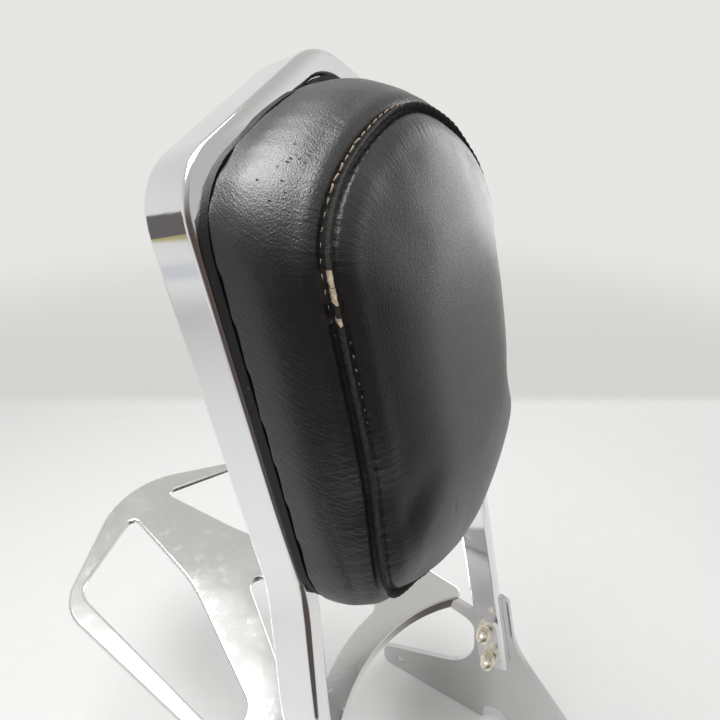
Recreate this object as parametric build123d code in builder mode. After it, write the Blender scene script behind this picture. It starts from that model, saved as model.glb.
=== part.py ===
from build123d import *
from math import cos, radians, sin, sqrt
import os

os.makedirs("parts", exist_ok=True)

# Stance: x runs across, y to the rear and z up, and the side plates stand on the floor at z = 0
clamp_height = 142.0  # lower clamp bolt above the floor
hoop_lean = 13.3  # degrees that the hoop leans back
deck_slope = 11.3  # degrees that the rack deck rises to the rear
deck_rise = 53.0  # deck above the lower clamp bolt, straight over it

# Hoop bar: heights run up the leaning hoop from the lower clamp bolt, on the bar's centre line
bar_width = 12.7
bar_depth = 28.6
bar_edge = 3.0
upper_span = 228.0  # outside width beside the pad
lower_span = 265.0  # outside width at the clamp bolts
shoulder_height = 517.5
peak_rise = 49.0  # top of the hoop over its shoulders
spread_top = 305.0  # the legs start to spread here
spread_bottom = 225.0  # and run straight down from here
leg_tail = 22.0
peak_bend = 38.0
shoulder_bend = 30.0
spread_bend = 110.0

# Clamp joint: side plate, leg and rack tab share two bolts on each side
clamp_pitch = 38.1
clamp_bolt_radius = 4.0
clamp_hole_clearance = 0.25
clamp_head_radius = 7.0
clamp_head_height = 4.4
clamp_socket_flats = 5.0
clamp_socket_depth = 2.6
head_dome = 0.8  # share of a button head's height that is rounded
clamp_washer_radius = 8.0
clamp_washer_thickness = 1.6
cap_nut_flats = 13.0
cap_nut_height = 6.5
cap_dome_radius = 6.2
cap_dome_rise = 2.6
cap_bore_depth = 9.5
cap_thread_length = 8.0
thread_clearance = 0.1
drill_length = 50.0
hex_sides = 6

# Side plates: reaches and heights run from the lower clamp bolt
plate_thickness = 6.35
plate_edge = 1.2
lug_front = 21.0
lug_rear = 15.0
lug_top = 69.0
lug_corner = 8.0
heel_reach = 18.0  # inner corner behind the lug
heel_drop = 57.0
heel_bend = 55.0
tail_reach = 136.0  # rear end of the plate
tail_height = 31.0
tail_corner = 13.0
toe_reach = 128.0  # front end of the plate
toe_height = 24.0
toe_corner = 10.0
toe_shoulder = 16.0
throat_along = 0.0  # the lug's front edge turns forward here
throat_bend = 110.0
dock_width = 28.0
dock_height = 29.0
dock_reach = 15.0  # docking notch ahead of the lower clamp bolt
dock_round = 13.9
dock_lip = 3.0
mount_hole_radius = 5.25
mount_hole_height = 21.0
front_hole_reach = 98.0
rear_hole_reach = 112.0

# Luggage rack: distances run up the sloping deck from the point over the lower clamp bolt
deck_thickness = 6.35
deck_edge = 2.4
deck_front_inset = 3.5  # in from the legs' outer faces
deck_rear_half = 127.0
deck_rear_corner = 341.0
deck_gable_rise = 80.5  # rear point past the rear corners
deck_front_round = 8.0
deck_rear_round = 45.0
deck_gable_round = 91.0
arch_distance = 87.0  # front edge at the centre plane
arch_radius = 180.0
band_width = 28.0
flange_height = 17.0
flange_thickness = 5.0
tab_thickness = 6.0
tab_half = 12.2
tab_tail = 15.0
tab_cover = 3.0  # tab's top below the deck's face
tab_reach = 74.0
tab_bend = 20.0
tab_end_round = 12.0
tab_front_corner = 8.0
tab_rear_corner = 4.0

# Deck openings: distance across and distance up the deck for each corner
side_rear_inner = (22.0, 376.0)
side_rear_outer = (108.0, 343.0)
side_front_outer = (117.0, 146.0)
side_front_inner = (88.0, 150.0)
side_waist = (38.0, 270.0)
side_rounds = (6.0, 25.0, 16.0, 15.0, 180.0)
centre_tip = 232.0
centre_half = 78.0
centre_tip_round = 9.0
centre_base_round = 14.0

# Pad: half-widths across, heights up the leaning hoop, depths forward of the bar's front face
pan_bottom = 292.0
pan_top_drop = 4.5  # pan's top corners below the hoop's shoulders
pan_depth = 6.4
pan_floor = 4.0
pan_rim = 12.0
pan_low_half = 114.0
pan_high_half = 112.5
pan_bottom_bow = 10.0
pan_peak = 56.0  # the pan's top is a gable with a rounded peak
pan_low_round = 46.0
pan_high_round = 45.0
pan_peak_round = 146.0
pan_edge = 1.5
lip_drop = 30.0  # lip's foot below the hoop's shoulders
lip_depth = 4.0
lip_gap = 0.5
cushion_depth = 59.4
cushion_reach = 68.4  # the front outline is set here, past the crown
front_half = 93.0
front_bottom_inset = 6.0
front_bottom_bow = 20.0
front_top_inset = 22.0
front_peak = 42.0
front_low_round = 48.0
front_high_round = 46.0
front_peak_round = 110.0
crown_rise = 123.0  # fullest point over the pan's bottom
crown_across = 420.0  # radius of the crown from side to side
crown_upright = 700.0  # radius of the crown up the pad
crown_span = 200.0
cushion_edge = 9.0

# Pad fixing: two straps between the legs carry the pan on four screws
strap_height = 25.0
strap_thickness = 5.0
lower_strap_rise = 60.0  # over the pan's bottom
upper_strap_drop = 41.0  # under the pan's top
screw_spacing = 120.0
screw_radius = 3.0
screw_hole_clearance = 0.3
screw_length = 13.5
screw_head_radius = 5.25
screw_head_height = 3.3
screw_socket_flats = 4.0
screw_socket_depth = 2.0
screw_washer_radius = 6.5
screw_washer_thickness = 1.2
boss_radius = 9.0
insert_radius = 4.6
insert_length = 8.0
insert_clearance = 0.05

# Worked-out places
lean = radians(hoop_lean)
slope = radians(deck_slope)
leg_inner = lower_span / 2 - bar_width
deck_front_half = lower_span / 2 - deck_front_inset
deck_gable = deck_rear_corner + deck_gable_rise
gable_pitch = deck_gable_rise / deck_rear_half
deck_end = deck_gable - deck_gable_round * (sqrt(1 + gable_pitch**2) - 1)
rear_extent = (deck_end - deck_edge) * cos(slope) + (deck_thickness - deck_edge) * sin(slope) + deck_edge
clamp_y = (toe_reach - rear_extent) / 2
clamp_hole = clamp_bolt_radius + clamp_hole_clearance
hoop_plane = Plane(
    origin=(0, clamp_y, clamp_height), x_dir=(1, 0, 0), z_dir=(0, -cos(lean), sin(lean))
)
deck_plane = Plane(
    origin=(0, clamp_y, clamp_height + deck_rise), x_dir=(1, 0, 0), z_dir=(0, -sin(slope), cos(slope))
)
pan_top = shoulder_height - pan_top_drop
front_bottom = pan_bottom + front_bottom_inset
front_top = pan_top - front_top_inset
strap_levels = {"lower": pan_bottom + lower_strap_rise, "upper": pan_top - upper_strap_drop}
bar_front = bar_depth / 2
strap_front = bar_front - bar_edge
SIDES = {"left": -1, "right": 1}
LEVELS = {"lower": 0.0, "upper": clamp_pitch}


def side_plane(x):
    """Plane across the object at x, with local axes to the rear and up from the lower clamp bolt."""
    return Plane(origin=(x, clamp_y, clamp_height), x_dir=(0, 1, 0), z_dir=(1, 0, 0))


def leg_point(along, across):
    """Side-view point, given up the leg and to the rear of its centre line."""
    return (along * sin(lean) + across * cos(lean), along * cos(lean) - across * sin(lean))


def deck_point(distance, depth):
    """Side-view point, given up the deck and down from its face."""
    return (distance * cos(slope) + depth * sin(slope), deck_rise + distance * sin(slope) - depth * cos(slope))


def along_at(depth, across):
    """Height up the leg where the line at across meets a line depth under the deck's face."""
    turn = lean + slope
    return (deck_rise * cos(slope) - depth + across * sin(turn)) / cos(turn)


def arch_at(x, setback):
    """Distance up the deck of the arched front edge, moved to the rear by setback."""
    radius = arch_radius + setback
    return arch_distance + setback - radius + sqrt(radius**2 - x**2)


def rounded_outline(corners, rounds):
    """Closed flat face with a round at each corner."""
    with BuildSketch() as outline:
        with BuildLine():
            FilletPolyline(*corners, radius=rounds, close=True)
        make_face()
    return outline.sketch


def pad_outline(low_half, high_half, bottom, top, bottom_bow, peak, low_round, high_round, peak_round, inset=0.0):
    """Shield-shaped outline with a bowed bottom and a gabled top."""
    with BuildSketch() as outline:
        with BuildLine():
            base = ThreePointArc((-low_half, bottom), (0, bottom - bottom_bow), (low_half, bottom))
            Polyline(base @ 1, (high_half, top), (0, top + peak), (-high_half, top), base @ 0)
        make_face()
        for level, radius in ((-1, peak_round), (-2, high_round), (0, low_round)):
            fillet(outline.vertices().group_by(Axis.Y)[level], radius)
        if inset:
            offset(amount=-inset, mode=Mode.REPLACE)
    return outline.sketch


def top_rim(builder, plane):
    """Round edge that lies farthest along the plane's normal."""
    return builder.edges().filter_by(GeomType.CIRCLE).sort_by(Axis(plane.origin, plane.z_dir))[-1]


def finish(builder, name):
    """Label a piece and write it."""
    builder.part.label = name
    export_step(builder.part, f"parts/{name}.step")


# Hoop bar, one bent flat bar with eased edges
upper_centre = (upper_span - bar_width) / 2
lower_centre = (lower_span - bar_width) / 2
right_leg = [
    (lower_centre, -leg_tail),
    (lower_centre, spread_bottom),
    (upper_centre, spread_top),
    (upper_centre, shoulder_height),
]
left_leg = [(-x, height) for x, height in right_leg]
leg_bends = [spread_bend, spread_bend, shoulder_bend]
hoop_bends = leg_bends + [peak_bend] + leg_bends[::-1]
clamp_points = [
    hoop_plane.from_local_coords((sign * lower_centre, height, 0))
    for sign in SIDES.values()
    for height in LEVELS.values()
]
with BuildPart() as hoop_bar:
    with BuildLine(hoop_plane) as centre_line:
        FilletPolyline(
            *left_leg, (0, shoulder_height + peak_rise), *right_leg[::-1], radius=hoop_bends
        )
    with BuildSketch(Plane(origin=centre_line.line @ 0, x_dir=(1, 0, 0), z_dir=centre_line.line % 0)):
        RectangleRounded(bar_width, bar_depth, bar_edge)
    sweep()
    with Locations(*[Plane(origin=point, z_dir=(1, 0, 0)) for point in clamp_points]):
        Cylinder(clamp_hole, drill_length, mode=Mode.SUBTRACT)
finish(hoop_bar, "hoop_bar")

# Pad straps, flat bars welded between the legs
strap_span = upper_span - 2 * bar_width
for level, height in strap_levels.items():
    with BuildPart() as pad_strap:
        with BuildSketch(hoop_plane.offset(strap_front)):
            with Locations((0, height)):
                Rectangle(strap_span, strap_height)
                with GridLocations(screw_spacing, 0, 2, 1):
                    Circle(screw_radius + screw_hole_clearance, mode=Mode.SUBTRACT)
        extrude(amount=-strap_thickness)
    finish(pad_strap, f"pad_strap_{level}")

# Pad pan, a moulded tray with a rim, a lip inside the hoop's gable and four bosses on the straps
pan_corners = (pan_low_half, pan_high_half, pan_bottom, pan_top, pan_bottom_bow, pan_peak)
pan_rounds = (pan_low_round, pan_high_round, pan_peak_round)
pan_face = pad_outline(*pan_corners, *pan_rounds)
pan_recess = pad_outline(*pan_corners, *pan_rounds, inset=pan_rim)
boss_spots = [
    (side * screw_spacing / 2, height) for side in SIDES.values() for height in strap_levels.values()
]
lip_foot = shoulder_height - lip_drop
with BuildSketch() as lip_sketch:
    with BuildLine():
        Polyline(
            (-upper_centre, lip_foot),
            (upper_centre, lip_foot),
            (upper_centre, shoulder_height),
            (0, shoulder_height + peak_rise),
            (-upper_centre, shoulder_height),
            (-upper_centre, lip_foot),
        )
    make_face()
    fillet(lip_sketch.vertices().group_by(Axis.Y)[-1], peak_bend)
    fillet(lip_sketch.vertices().group_by(Axis.Y)[-2], shoulder_bend)
    offset(amount=-(bar_width / 2 + lip_gap), mode=Mode.REPLACE)
pan_back = hoop_plane.offset(bar_front)
boss_plane = hoop_plane.offset(strap_front)
with BuildPart() as pad_pan:
    with BuildSketch(pan_back):
        add(pan_face)
    extrude(amount=pan_depth)
    fillet(pad_pan.edges().group_by(Axis(pan_back.origin, pan_back.z_dir))[0], pan_edge)
    with BuildSketch(pan_back):
        add(pan_recess)
    extrude(amount=pan_depth - pan_floor, mode=Mode.SUBTRACT)
    with BuildSketch(pan_back.offset(-lip_depth)):
        add(lip_sketch.sketch)
    extrude(amount=lip_depth + pan_depth - pan_floor)
    with BuildSketch(boss_plane):
        with Locations(*boss_spots):
            Circle(boss_radius)
    extrude(amount=bar_front - strap_front + pan_depth - pan_floor)
    with BuildSketch(boss_plane):
        with Locations(*boss_spots):
            Circle(insert_radius + insert_clearance)
    extrude(amount=insert_length, mode=Mode.SUBTRACT)
finish(pad_pan, "pad_pan")

# Pad cushion, foam under a leather cover with a crowned front
front_face = pad_outline(
    front_half,
    front_half,
    front_bottom,
    front_top,
    front_bottom_bow,
    front_peak,
    front_low_round,
    front_high_round,
    front_peak_round,
)
crown_plane = Plane(
    origin=hoop_plane.from_local_coords((0, pan_bottom + crown_rise, bar_front + cushion_depth)),
    x_dir=hoop_plane.z_dir,
    z_dir=(-1, 0, 0),
)
crown_axis = Axis(crown_plane.from_local_coords((-crown_across, 0, 0)), hoop_plane.y_dir)
crown_fall = crown_upright - sqrt(crown_upright**2 - crown_span**2)
with BuildPart() as pad_cushion:
    with BuildSketch(hoop_plane.offset(bar_front + pan_depth)):
        add(pan_face)
    with BuildSketch(hoop_plane.offset(bar_front + cushion_reach)):
        add(front_face)
    loft()
    with BuildSketch(crown_plane):
        with BuildLine():
            bulge = ThreePointArc((-crown_fall, -crown_span), (0, 0), (-crown_fall, crown_span))
            Polyline(bulge @ 1, (-crown_across, crown_span), (-crown_across, -crown_span), bulge @ 0)
        make_face()
    revolve(axis=crown_axis, mode=Mode.INTERSECT)
    crown_face = pad_cushion.faces().sort_by(Axis(hoop_plane.origin, hoop_plane.z_dir))[-1]
    fillet(crown_face.edges(), cushion_edge)
finish(pad_cushion, "pad_cushion")

# Pad screws, washers and threaded inserts
for side, sign in SIDES.items():
    for level, height in strap_levels.items():
        spot = (sign * screw_spacing / 2, height)
        place = f"{level}_{side}"
        strap_back = boss_plane.offset(-strap_thickness).from_local_coords((*spot, 0))
        washer_plane = Plane(strap_back, x_dir=(1, 0, 0), z_dir=-hoop_plane.z_dir)
        with BuildPart() as pad_washer:
            with BuildSketch(washer_plane):
                Circle(screw_washer_radius)
                Circle(screw_radius + screw_hole_clearance, mode=Mode.SUBTRACT)
            extrude(amount=screw_washer_thickness)
        finish(pad_washer, f"pad_washer_{place}")
        head_plane = washer_plane.offset(screw_washer_thickness)
        with BuildPart(head_plane) as pad_screw:
            Cylinder(screw_head_radius, screw_head_height, align=(Align.CENTER, Align.CENTER, Align.MIN))
            fillet(top_rim(pad_screw, head_plane), screw_head_height * head_dome)
            Cylinder(screw_radius, screw_length, align=(Align.CENTER, Align.CENTER, Align.MAX))
            with BuildSketch(head_plane.offset(screw_head_height)):
                RegularPolygon(screw_socket_flats / 2, hex_sides, major_radius=False)
            extrude(amount=-screw_socket_depth, mode=Mode.SUBTRACT)
        finish(pad_screw, f"pad_screw_{place}")
        insert_plane = Plane(boss_plane.from_local_coords((*spot, 0)), x_dir=(1, 0, 0), z_dir=hoop_plane.z_dir)
        with BuildPart() as pad_insert:
            with BuildSketch(insert_plane):
                Circle(insert_radius)
                Circle(screw_radius + thread_clearance, mode=Mode.SUBTRACT)
            extrude(amount=insert_length)
        finish(pad_insert, f"pad_insert_{place}")

# Luggage rack, a plate deck with an arched front flange and a tab down each leg
with BuildSketch() as deck_sketch:
    front_corner = arch_at(deck_front_half, 0)
    with BuildLine():
        ThreePointArc((-deck_front_half, front_corner), (0, arch_distance), (deck_front_half, front_corner))
        Polyline(
            (deck_front_half, front_corner),
            (deck_rear_half, deck_rear_corner),
            (0, deck_gable),
            (-deck_rear_half, deck_rear_corner),
            (-deck_front_half, front_corner),
        )
    make_face()
    fillet(deck_sketch.vertices().group_by(Axis.Y)[-1], deck_gable_round)
    fillet(deck_sketch.vertices().group_by(Axis.Y)[-2], deck_rear_round)
    fillet(deck_sketch.vertices().group_by(Axis.Y)[0], deck_front_round)
    side_corners = [side_rear_inner, side_rear_outer, side_front_outer, side_front_inner, side_waist]
    for sign in SIDES.values():
        add(rounded_outline([(sign * x, y) for x, y in side_corners], side_rounds), mode=Mode.SUBTRACT)
with BuildSketch() as centre_sketch:
    base_corner = arch_at(centre_half, band_width)
    with BuildLine():
        ThreePointArc((-centre_half, base_corner), (0, arch_distance + band_width), (centre_half, base_corner))
        Polyline((centre_half, base_corner), (0, centre_tip), (-centre_half, base_corner))
    make_face()
    fillet(centre_sketch.vertices().group_by(Axis.Y)[0], centre_base_round)
    fillet(centre_sketch.vertices().group_by(Axis.Y)[-1], centre_tip_round)
flange_half = leg_inner - tab_thickness / 2
with BuildSketch() as flange_sketch:
    with BuildLine():
        outer = ThreePointArc(
            (-flange_half, arch_at(flange_half, 0)), (0, arch_distance), (flange_half, arch_at(flange_half, 0))
        )
        inner = ThreePointArc(
            (flange_half, arch_at(flange_half, flange_thickness)),
            (0, arch_distance + flange_thickness),
            (-flange_half, arch_at(flange_half, flange_thickness)),
        )
        Line(outer @ 1, inner @ 0)
        Line(inner @ 1, outer @ 0)
    make_face()
tab_face = rounded_outline(
    [
        leg_point(-tab_tail, -tab_half),
        leg_point(-tab_tail, tab_half),
        leg_point(along_at(flange_height, tab_half), tab_half),
        deck_point(tab_reach, flange_height),
        deck_point(tab_reach, tab_cover),
        leg_point(along_at(tab_cover, -tab_half), -tab_half),
    ],
    [tab_end_round, tab_end_round, tab_bend, tab_rear_corner, 0, tab_front_corner],
)
with BuildPart() as luggage_rack:
    with BuildSketch(deck_plane):
        add(deck_sketch.sketch)
        add(centre_sketch.sketch, mode=Mode.SUBTRACT)
    extrude(amount=-deck_thickness)
    deck_faces = luggage_rack.faces().sort_by(Axis(deck_plane.origin, deck_plane.z_dir))
    fillet(deck_faces[0].edges() + deck_faces[-1].edges(), deck_edge)
    with BuildSketch(deck_plane.offset(-deck_thickness / 2)):
        add(flange_sketch.sketch)
    extrude(amount=-(flange_height - deck_thickness / 2))
    for sign in SIDES.values():
        with BuildSketch(side_plane(sign * leg_inner)):
            add(tab_face)
        extrude(amount=-sign * tab_thickness)
    with Locations(*[Plane(origin=point, z_dir=(1, 0, 0)) for point in clamp_points]):
        Cylinder(clamp_hole, drill_length, mode=Mode.SUBTRACT)
finish(luggage_rack, "luggage_rack")

# Side plates, each a flat plate with a lug up the leg and a docking notch in its foot
floor_level = -clamp_height
dock_front = -dock_reach - dock_width / 2
dock_rear = -dock_reach + dock_width / 2
plate_face = rounded_outline(
    [
        leg_point(lug_top, -lug_front),
        leg_point(lug_top, lug_rear),
        (heel_reach, -heel_drop),
        (tail_reach, floor_level + tail_height),
        (tail_reach, floor_level),
        (dock_rear, floor_level),
        (dock_rear, floor_level + dock_height),
        (dock_front, floor_level + dock_height),
        (dock_front, floor_level),
        (-toe_reach, floor_level),
        (-toe_reach, floor_level + toe_height),
        leg_point(throat_along, -lug_front),
    ],
    [
        lug_corner,
        lug_corner,
        heel_bend,
        tail_corner,
        tail_corner,
        dock_lip,
        dock_round,
        dock_round,
        dock_lip,
        toe_corner,
        toe_shoulder,
        throat_bend,
    ],
)
for side, sign in SIDES.items():
    with BuildPart() as side_plate:
        with BuildSketch(side_plane(sign * lower_span / 2)):
            add(plate_face)
            with Locations(*[leg_point(height, 0) for height in LEVELS.values()]):
                Circle(clamp_hole, mode=Mode.SUBTRACT)
            with Locations(
                (-front_hole_reach, floor_level + mount_hole_height),
                (rear_hole_reach, floor_level + mount_hole_height),
            ):
                Circle(mount_hole_radius, mode=Mode.SUBTRACT)
        extrude(amount=sign * plate_thickness)
        outer_face = side_plate.faces().sort_by(Axis.X)[-1 if sign > 0 else 0]
        fillet(outer_face.outer_wire().edges(), plate_edge)
    finish(side_plate, f"side_plate_{side}")

# Clamp bolts, washers and cap nuts
plate_outer = lower_span / 2 + plate_thickness
tab_inner = leg_inner - tab_thickness
shank_length = plate_outer - tab_inner + 2 * clamp_washer_thickness + cap_thread_length
for side, sign in SIDES.items():
    for level, height in LEVELS.items():
        place = f"{level}_{side}"
        axis_point = hoop_plane.from_local_coords((0, height, 0))
        outside = Plane((sign * plate_outer, axis_point.Y, axis_point.Z), x_dir=(0, 1, 0), z_dir=(sign, 0, 0))
        inside = Plane((sign * tab_inner, axis_point.Y, axis_point.Z), x_dir=(0, 1, 0), z_dir=(-sign, 0, 0))
        for where, seat in (("outer", outside), ("inner", inside)):
            with BuildPart() as clamp_washer:
                with BuildSketch(seat):
                    Circle(clamp_washer_radius)
                    Circle(clamp_hole, mode=Mode.SUBTRACT)
                extrude(amount=clamp_washer_thickness)
            finish(clamp_washer, f"clamp_washer_{where}_{place}")
        head_seat = outside.offset(clamp_washer_thickness)
        with BuildPart(head_seat) as clamp_bolt:
            Cylinder(clamp_head_radius, clamp_head_height, align=(Align.CENTER, Align.CENTER, Align.MIN))
            fillet(top_rim(clamp_bolt, head_seat), clamp_head_height * head_dome)
            Cylinder(clamp_bolt_radius, shank_length, align=(Align.CENTER, Align.CENTER, Align.MAX))
            with BuildSketch(head_seat.offset(clamp_head_height)):
                RegularPolygon(clamp_socket_flats / 2, hex_sides, major_radius=False)
            extrude(amount=-clamp_socket_depth, mode=Mode.SUBTRACT)
        finish(clamp_bolt, f"clamp_bolt_{place}")
        nut_seat = inside.offset(clamp_washer_thickness)
        with BuildPart(nut_seat) as cap_nut:
            with BuildSketch(nut_seat):
                RegularPolygon(cap_nut_flats / 2, hex_sides, major_radius=False)
            extrude(amount=cap_nut_height)
            with Locations((0, 0, cap_nut_height)):
                Cylinder(cap_dome_radius, cap_dome_rise, align=(Align.CENTER, Align.CENTER, Align.MIN))
            with Locations((0, 0, cap_nut_height + cap_dome_rise)):
                Sphere(cap_dome_radius)
            Cylinder(
                clamp_bolt_radius + thread_clearance,
                cap_bore_depth,
                align=(Align.CENTER, Align.CENTER, Align.MIN),
                mode=Mode.SUBTRACT,
            )
        finish(cap_nut, f"cap_nut_{place}")
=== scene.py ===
# %% [markdown]
# A sissy bar is the backrest that stands behind a motorcycle's seat. This one is a chromed flat bar bent
# into a hoop, with a stitched leather pad in front of it, a luggage rack behind it and two side plates that
# carry both. The metal is already there as CAD solids, and Blender keeps their shapes. What a solid can't
# show well is the soft pad with its seam and stitches, and the finish of each surface, so those are what
# this lesson makes.

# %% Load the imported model
import math

import bmesh
import bpy
import numpy as np
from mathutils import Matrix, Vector
from mathutils.bvhtree import BVHTree
from mathutils.geometry import convex_hull_2d
from mathutils.kdtree import KDTree


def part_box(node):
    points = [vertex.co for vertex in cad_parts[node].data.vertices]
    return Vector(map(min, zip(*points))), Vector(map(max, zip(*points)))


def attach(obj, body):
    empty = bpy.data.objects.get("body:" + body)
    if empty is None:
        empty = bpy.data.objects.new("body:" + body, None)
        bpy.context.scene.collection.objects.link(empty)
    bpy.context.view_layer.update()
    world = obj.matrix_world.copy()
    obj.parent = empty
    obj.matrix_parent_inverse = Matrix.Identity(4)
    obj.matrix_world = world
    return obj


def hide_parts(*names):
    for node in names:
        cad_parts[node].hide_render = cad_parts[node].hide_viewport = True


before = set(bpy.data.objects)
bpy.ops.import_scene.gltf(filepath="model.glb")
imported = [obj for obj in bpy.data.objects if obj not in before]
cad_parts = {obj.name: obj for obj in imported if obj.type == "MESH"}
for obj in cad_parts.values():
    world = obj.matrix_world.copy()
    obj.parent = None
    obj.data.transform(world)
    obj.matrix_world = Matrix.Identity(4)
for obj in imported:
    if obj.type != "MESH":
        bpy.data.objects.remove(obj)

MM = 0.001
scene = bpy.context.scene
scene.view_settings.view_transform = "Standard"
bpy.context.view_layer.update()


def placed(name, data):
    made = bpy.data.objects.new(name, data)
    scene.collection.objects.link(made)
    return made


# %% [markdown]
# The hoop leans back, and the pad leans with it. It is easier to measure the pad along the hoop than in the
# upright frame: x runs across, rise runs up the hoop from the lower clamp bolt, and depth runs forward from
# the bar's front face. One helper turns these three into points of the shared frame, and the bolt's own box
# says where to start.

# %% Measure along the hoop
hoop_lean = math.radians(13.3)
bar_depth = 28.6 * MM

bolt_low, bolt_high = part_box("clamp_bolt_lower_left")
clamp = (bolt_low + bolt_high) / 2
sideways = np.array((1.0, 0.0, 0.0))
up_hoop = np.array((0.0, math.sin(hoop_lean), math.cos(hoop_lean)))
forward = np.array((0.0, -math.cos(hoop_lean), math.sin(hoop_lean)))
hoop_start = np.array((0.0, clamp.y, clamp.z)) + forward * bar_depth / 2


def on_hoop(x, rise, depth):
    x, rise, depth = np.broadcast_arrays(x, rise, depth)
    return hoop_start + x[..., None] * sideways + rise[..., None] * up_hoop + depth[..., None] * forward


def along_hoop(points):
    from_start = np.asarray(points) - hoop_start
    return from_start @ sideways, from_start @ up_hoop, from_start @ forward


print("The lower clamp bolt is at", [round(v, 4) for v in clamp])

# %% [markdown]
# The picture was taken from close by, on the bar's left and about level with the top of the pad, so the
# near leg looks much larger than the far one. A camera that stands in the same place with the same lens
# gives the same strong perspective. Its place, its lens and the hoop's lean were fitted together, to points
# picked along the bar's edges in the picture.

# %% Set the camera
picture_width = 720
lens_pixels = 518.0

camera_data = bpy.data.cameras.new("photo_camera")
camera_data.sensor_width = 36.0
camera_data.lens = camera_data.sensor_width * lens_pixels / picture_width
camera_data.clip_start = 0.01
camera = placed("photo_camera", camera_data)
scene.camera = camera

look = Vector((0.7564, 0.4617, -0.4633)).normalized()
camera.location = (-0.2523, clamp.y - 0.0611, 0.680)
camera.rotation_mode = "QUATERNION"
camera.rotation_quaternion = look.to_track_quat("-Z", "Y")
look_right = look.cross(Vector((0.0, 0.0, 1.0))).normalized()
look_up = look_right.cross(look)


def through_pixel(px, py):
    sideways_share = (px - picture_width / 2) / lens_pixels
    upward_share = (picture_width / 2 - py) / lens_pixels
    return (look + sideways_share * look_right + upward_share * look_up).normalized()


print("Camera at", [round(v, 3) for v in camera.location], "lens", round(camera_data.lens, 2), "mm")

# %% [markdown]
# Every finish below is a small network of nodes. Wiring nodes by hand takes many lines, so two small
# classes do it. A Wire is one output socket that takes part in Python arithmetic: adding two wires places
# an Add node, and one function makes all the operators, also those where the number stands first. A Net is
# a node tree with one method that adds any other node, first its settings and then the values or links of
# its sockets. Both serve the materials, the world and the Geometry Nodes.

# %% Wire sockets with arithmetic
def maths(operation, reflected=False):
    def combine(wire, other):
        first, second = (other, wire) if reflected else (wire, other)
        return wire.net.node("ShaderNodeMath", {"operation": operation}, {0: first, 1: second})
    return combine


class Wire:
    __add__ = maths("ADD")
    __radd__ = maths("ADD", reflected=True)
    __sub__ = maths("SUBTRACT")
    __rsub__ = maths("SUBTRACT", reflected=True)
    __mul__ = maths("MULTIPLY")
    __truediv__ = maths("DIVIDE")
    __pow__ = maths("POWER")
    larger = maths("MAXIMUM")

    def __init__(self, net, socket):
        self.net = net
        self.socket = socket

    def sine(self):
        return self.net.node("ShaderNodeMath", {"operation": "SINE"}, {0: self})

    def between(self, low, high):
        span = {"Value": self, "From Min": low, "From Max": high}
        return self.net.node("ShaderNodeMapRange", {"interpolation_type": "SMOOTHSTEP"}, span)

    def output(self, name):
        return Wire(self.net, self.socket.node.outputs[name])


class Net:
    def __init__(self, tree):
        self.tree = tree

    def node(self, kind, settings=None, inputs=None, output=0):
        made = self.tree.nodes.new(kind)
        for name, value in (settings or {}).items():
            setattr(made, name, value)
        for key, value in (inputs or {}).items():
            if isinstance(value, Wire):
                self.tree.links.new(value.socket, made.inputs[key])
            else:
                made.inputs[key].default_value = value
        return Wire(self, made.outputs[output]) if made.outputs else None

    def blend(self, share, first, second):
        first, second = (tint if isinstance(tint, Wire) else (*tint, 1.0) for tint in (first, second))
        return self.node("ShaderNodeMix", {"data_type": "RGBA"}, {0: share, 6: first, 7: second}, output=2)

    def vectors(self, operation, first, second):
        return self.node("ShaderNodeVectorMath", {"operation": operation}, {0: first, 1: second})

    def dot(self, first, second):
        return self.vectors("DOT_PRODUCT", first, second).output("Value")

    def unit(self, vector):
        return self.node("ShaderNodeVectorMath", {"operation": "NORMALIZE"}, {0: vector})

    def part(self, vector, axis):
        return self.node("ShaderNodeSeparateXYZ", inputs={"Vector": vector}, output=axis)

    def scaled(self, vector, length):
        return self.node("ShaderNodeVectorMath", {"operation": "SCALE"}, {0: vector, "Scale": length})

    def clouds(self, place, scale, detail=3.0, roughness=0.5):
        shape = {"Vector": place, "Scale": scale, "Detail": detail, "Roughness": roughness}
        return self.node("ShaderNodeTexNoise", inputs=shape)

    def cells(self, place, scale, feature="F1"):
        return self.node("ShaderNodeTexVoronoi", {"feature": feature}, {"Vector": place, "Scale": scale})

    def mapped(self, place, turn=(0, 0, 0), stretch=(1, 1, 1)):
        return self.node("ShaderNodeMapping", inputs={"Vector": place, "Rotation": turn, "Scale": stretch})

    def attribute(self, name):
        return self.node("ShaderNodeAttribute", {"attribute_name": name}, output="Fac")

    def bump(self, height, distance, below=None):
        inputs = {"Height": height, "Distance": distance}
        if below is not None:
            inputs["Normal"] = below
        return self.node("ShaderNodeBump", inputs=inputs)


print("Wire and Net are ready")

# %% [markdown]
# A finish starts as an empty material with Object coordinates, because every piece sits at the origin and
# so one metre of pattern is one metre of metal or leather. It ends in one Principled shader, and numbers
# that are the same all over go straight on its sockets.

# %% Start and close a finish
def new_finish(name):
    material = bpy.data.materials.new(name)
    material.use_nodes = True
    material.node_tree.nodes.clear()
    net = Net(material.node_tree)
    place = net.node("ShaderNodeTexCoord", output="Object")
    return material, net, place


def close_finish(material, net, inputs):
    shader = net.node("ShaderNodeBsdfPrincipled", inputs=inputs)
    net.node("ShaderNodeOutputMaterial", inputs={"Surface": shader})
    print("Finish:", material.name, "with", len(net.tree.nodes), "nodes")


# %% [markdown]
# Chrome is a mirror, so its colour is mostly the room's. What makes it look real is what isn't quite
# perfect: slow waves from the polishing wheel, a faint haze from wiping and a few tiny pits. The hoop is
# the best polished, and the same function makes the rack and the plates a little duller. The front face of
# the hoop's top and the rack's front flange look a little rolled in the picture. Such a turn only shows in
# what the face mirrors, so the normals alone are turned.

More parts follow.
